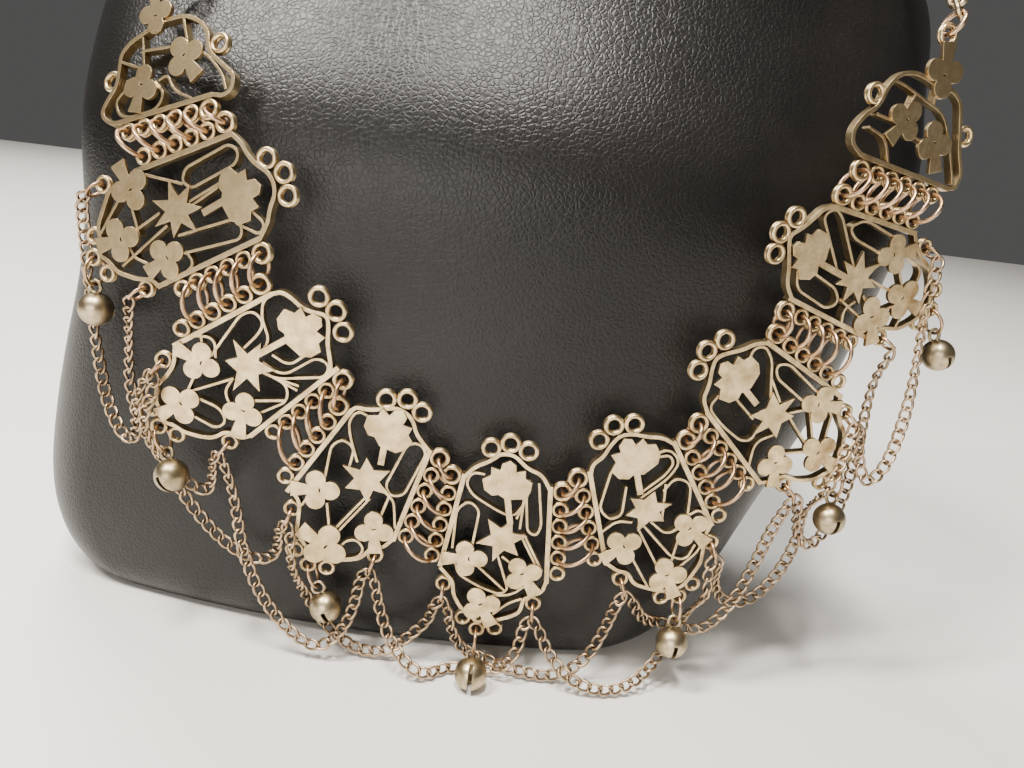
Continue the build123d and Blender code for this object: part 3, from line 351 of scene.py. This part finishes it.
# Hanging chains
# Fine curb chain: every link is a twisted oval that passes over the next one on one side and under
# it on the other. Each chain hangs between a ring of one plaque and a ring of the next.
swag_routes = {
    "swag_left_2": [
        (-89.5, -47.2, 93.6), (-91.5, -42, 83), (-90.5, -43, 72), (-88.5, -44, 61),
        (-86, -45.5, 50), (-81, -48, 43), (-76.5, -51.2, 45.1), (-75.5, -54.5, 53.3),
        (-72.9, -55.3, 60.4),
    ],
    "swag_left_3": [
        (-70.4, -55.7, 58.7), (-73.9, -56.2, 50.6), (-71.2, -51, 39.6), (-65, -51.1, 30.5),
        (-58, -50.5, 22.5), (-50.5, -50.5, 19), (-45.5, -52.6, 23), (-44.9, -56.2, 31.1),
    ],
    "swag_left_4": [
        (-42, -56.4, 30.3), (-41.4, -57.8, 22.6), (-39.4, -51.2, 12.8), (-35.1, -50.4, 5.5),
        (-28.5, -52.6, 1.8), (-21, -53.6, 1.9), (-15, -52.2, 7), (-11.6, -52.4, 11.6),
        (-11.1, -53.4, 15.9),
    ],
    "swag_left_5": [
        (-8.1, -53.4, 15.8), (-7.1, -53.2, 10.4), (-4, -51.1, 3.6), (2.7, -51, 1.6),
        (10, -54.4, 1.9), (17.5, -54.2, 1.8), (23.5, -52.4, 5.5), (26.8, -51.2, 13),
        (28.3, -52.4, 21.4),
    ],
    "swag_left_6": [
        (31.1, -52.1, 22.3), (34.8, -49.7, 15.7), (40.8, -45.1, 13.2), (48.5, -48.5, 13.5),
        (54.5, -46.4, 20), (58, -45, 29), (60.6, -43.8, 38), (62.5, -45.1, 45),
    ],
    "swag_left_7": [
        (65, -44.5, 46.8), (66.3, -41.8, 38.5), (70.5, -40.5, 33.2), (75, -38, 37),
        (77.6, -37, 45.5), (78.2, -36.6, 55), (78, -36.2, 65), (78.4, -35.6, 73.5),
        (79.9, -37.8, 79.8),
    ],
    "swag_right_2": [
        (-77.6, -52.5, 73.9), (-79.6, -48.2, 64), (-80, -47.6, 54), (-76.5, -47.6, 44),
        (-69.5, -47.9, 36.2), (-62.5, -49.5, 33), (-60.5, -51.2, 38.1), (-59.6, -54.4, 44.3),
    ],
    "swag_right_3": [
        (-56.9, -54.3, 42.6), (-54.6, -54, 34.5), (-52.8, -55, 24.5), (-48.5, -55.6, 14.5),
        (-42, -56, 6.5), (-35, -56, 2.4), (-29.8, -55.4, 8), (-27.8, -54.3, 15), (-27, -55, 22),
    ],
    "swag_right_4": [
        (-24.1, -54.8, 21.1), (-22.5, -55.4, 14), (-18.5, -58, 6.5), (-12, -60.4, 2),
        (-6.6, -54.9, 1.6), (1.2, -53.5, 1.6), (5.7, -56.7, 3.9), (8.4, -55, 8.6),
        (8.8, -53.4, 13.7),
    ],
    "swag_right_5": [
        (11.8, -53.3, 13.6), (14.4, -55, 8.8), (19, -57.2, 4.2), (26, -57.6, 1.8), (33, -55.6, 2.2),
        (39.2, -50, 5), (44.4, -41.4, 10.4), (46, -46.8, 18.6), (47.6, -51.4, 24.4),
        (46.6, -50.6, 31.5),
    ],
    "swag_right_6": [
        (49.4, -49.8, 32.4), (49.6, -46.6, 25.5), (52.6, -43.4, 19.8), (58.8, -42, 18.4),
        (65, -39.6, 23.5), (69.6, -36.6, 32), (68.6, -38.6, 42.6), (70.4, -46.4, 50),
        (73, -43.1, 62),
    ],
    "swag_right_7": [
        (75.5, -41.7, 63.8), (76.7, -41.4, 56), (79.2, -42.4, 50.8), (83.2, -40.6, 54.5),
        (85.2, -39.2, 63), (85.6, -38.6, 72), (85.2, -37.8, 81), (84.4, -37.6, 90.1),
        (85.2, -36.6, 99.6),
    ],
}
curb_length = 0.0038
curb_width = 0.0027
curb_wire = 0.00062
curb_pitch = 0.00248
curb_twist = 0.00036
curb_turns = 22
curb_sides = 8
corner_ring_wire = 0.0007
line_steps = 24
millimetres_per_metre = 1000
most_roll = radians(38)
roll_per_link = 0.33
leans_back = 0.25


def smooth_line(points):
    """Closely spaced points along the smooth line that a route's points guide"""
    curve = bpy.data.curves.new("chain_line", "CURVE")
    curve.dimensions = "3D"
    curve.resolution_u = line_steps
    spline = curve.splines.new("NURBS")
    spline.points.add(len(points) - 1)
    for guide, point in zip(spline.points, points):
        guide.co = (*point, 1)
    spline.use_endpoint_u = True
    spline.order_u = 3
    holder = bpy.data.objects.new("chain_line", curve)
    mesh = bpy.data.meshes.new_from_object(holder)
    line = [vertex.co.copy() for vertex in mesh.vertices]
    bpy.data.objects.remove(holder)
    bpy.data.meshes.remove(mesh)
    return line


def along(line, distance):
    """Place and direction at a distance along a line of points"""
    for start, end in zip(line, line[1:]):
        run = (end - start).length
        if distance <= run or end is line[-1]:
            return start + (end - start) * (distance / run), (end - start).normalized()
        distance -= run


def hook_on(point):
    """Middle of the corner ring's wire, where a chain's end hooks on, nearest to a point"""
    rings = [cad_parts[f"corner_rings_{number}"].data.vertices for number in range(2, 9)]
    on_wire = [min(ring, key=lambda vertex: (vertex.co - point).length).co for ring in rings]
    nearest, ring = min(zip(on_wire, rings), key=lambda pair: (pair[0] - point).length)
    reach = corner_ring_wire * 0.95
    around = [vertex.co for vertex in ring if (vertex.co - nearest).length < reach]
    return sum(around, Vector()) / len(around)


def curb_link(centre, way, face):
    """Points round the wire of one link that runs along way and faces face"""
    side = face.cross(way).normalized()
    face = way.cross(side).normalized()
    long_half = (curb_length - curb_wire) / 2
    wide_half = (curb_width - curb_wire) / 2
    line = []
    for step in range(curb_turns):
        turn = 2 * pi * step / curb_turns
        line.append(centre + way * long_half * cos(turn) + side * wide_half * sin(turn)
                    + face * curb_twist * sin(2 * turn))
    corners = []
    for step in range(curb_turns):
        ahead = (line[(step + 1) % curb_turns] - line[step - 1]).normalized()
        out = (line[step] - centre).normalized()
        out = (out - ahead * out.dot(ahead)).normalized()
        over = ahead.cross(out)
        for corner in range(curb_sides):
            angle = 2 * pi * corner / curb_sides
            corners.append(line[step] + (out * cos(angle) + over * sin(angle)) * curb_wire / 2)
    return corners


def link_faces(first):
    """Faces of one link whose points start at a number"""
    faces = []
    for step in range(curb_turns):
        here = first + step * curb_sides
        there = first + (step + 1) % curb_turns * curb_sides
        for corner in range(curb_sides):
            beside = (corner + 1) % curb_sides
            faces.append((here + corner, here + beside, there + beside, there + corner))
    return faces


curb_metal = old_metal(
    "curb_chain", bright=(0.58, 0.43, 0.28), dull=(0.31, 0.22, 0.13), recess_shade_and_tarnish=(0.08, 0.05, 0.025),
    smoothest=0.24, roughest=0.44, corner_reach=0.0009, edge_radius=0.00008,
)
ring_to_centre = curb_length / 2 - curb_wire - corner_ring_wire / 2
for node, route in swag_routes.items():
    guides = [Vector(point) / millimetres_per_metre for point in route]
    line = smooth_line([hook_on(guides[0]), *guides, hook_on(guides[-1])])
    linked = sum((end - start).length for start, end in zip(line, line[1:])) - 2 * ring_to_centre
    pitches = round(linked / curb_pitch)
    corners, faces = [], []
    first_roll = sum(ord(letter) for letter in node)
    for number in range(pitches + 1):
        centre, way = along(line, ring_to_centre + number * linked / pitches)
        roll = most_roll * sin(number * roll_per_link + first_roll)
        faces += link_faces(len(corners))
        corners += curb_link(centre, way, Vector((sin(roll), -cos(roll), leans_back)))
    mesh = bpy.data.meshes.new(node.replace("swag", "curb_chain"))
    mesh.from_pydata(corners, [], faces)
    mesh.polygons.foreach_set("use_smooth", [True] * len(mesh.polygons))
    mesh.materials.append(curb_metal)
    chain = bpy.data.objects.new(mesh.name, mesh)
    bpy.context.scene.collection.objects.link(chain)
    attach(chain, "root")
    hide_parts(node)
